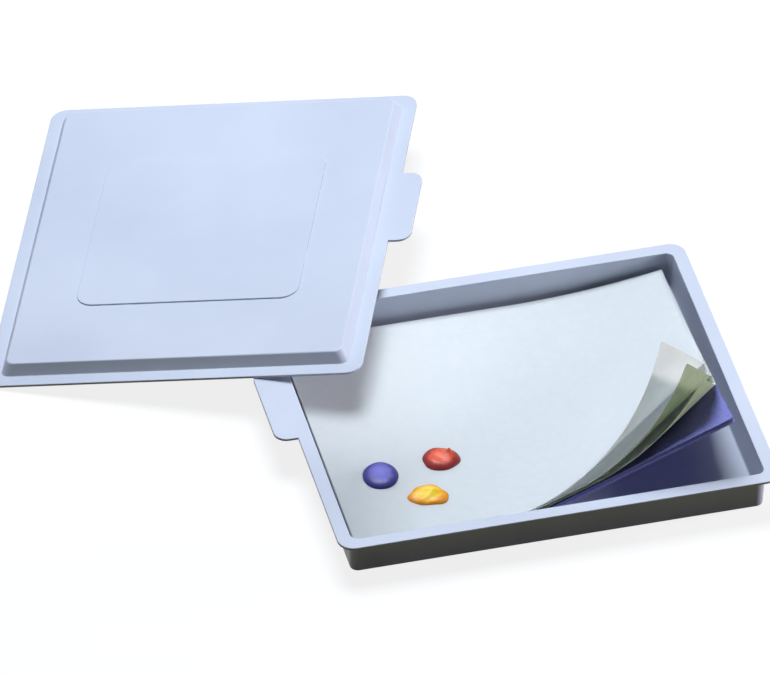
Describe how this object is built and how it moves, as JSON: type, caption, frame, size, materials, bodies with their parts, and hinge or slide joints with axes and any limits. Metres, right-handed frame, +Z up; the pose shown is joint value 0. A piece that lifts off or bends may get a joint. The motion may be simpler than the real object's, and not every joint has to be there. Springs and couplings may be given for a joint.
{
  "type": "wet palette",
  "caption": "Shallow tray with a wet sponge and palette paper peeled up at one corner, dabs of paint on it, and a flat lid leaning on the rim.",
  "frame": {"origin": "middle of the tray's flat underside, on the table", "axes": "+X along the tray's long side away from its tab, +Y to its rear, +Z up"},
  "size_m": [0.3554, 0.3909, 0.0771],
  "materials": {
    "shell": "satin",
    "sponge": "matte",
    "palette_paper": "matte",
    "blue_paint": "gloss",
    "red_paint": "gloss",
    "yellow_paint": "gloss"
  },
  "bodies": {
    "tray": {"tray": "shell"},
    "lid": {"lid": "shell"},
    "sponge": {"sponge": "sponge"},
    "bottom_sheet": {"bottom_sheet": "palette_paper"},
    "middle_sheet": {"middle_sheet": "palette_paper"},
    "top_sheet": {"top_sheet": "palette_paper", "blue_paint": "blue_paint", "red_paint": "red_paint", "yellow_paint": "yellow_paint"}
  },
  "joints": [
    {"name": "lid_lift", "type": "slide", "parent": "tray", "child": "lid", "axis": [0, 0, 1], "range_m": [0, 0.08]},
    {"name": "sponge_peel", "type": "hinge", "parent": "tray", "child": "sponge", "pos_m": [-0.0992, 0.0832, 0.0012], "axis": [-0.7771, -0.6293, 0], "range_deg": [0, 4]},
    {"name": "bottom_sheet_peel", "type": "hinge", "parent": "sponge", "child": "bottom_sheet", "pos_m": [-0.0992, 0.0832, 0.0047], "axis": [-0.7771, -0.6293, 0], "range_deg": [0, 4]},
    {"name": "middle_sheet_peel", "type": "hinge", "parent": "bottom_sheet", "child": "middle_sheet", "pos_m": [-0.0992, 0.0832, 0.0058], "axis": [-0.7771, -0.6293, 0], "range_deg": [0, 4]},
    {"name": "top_sheet_peel", "type": "hinge", "parent": "middle_sheet", "child": "top_sheet", "pos_m": [-0.0992, 0.0832, 0.0069], "axis": [-0.7771, -0.6293, 0], "range_deg": [0, 4]}
  ]
}
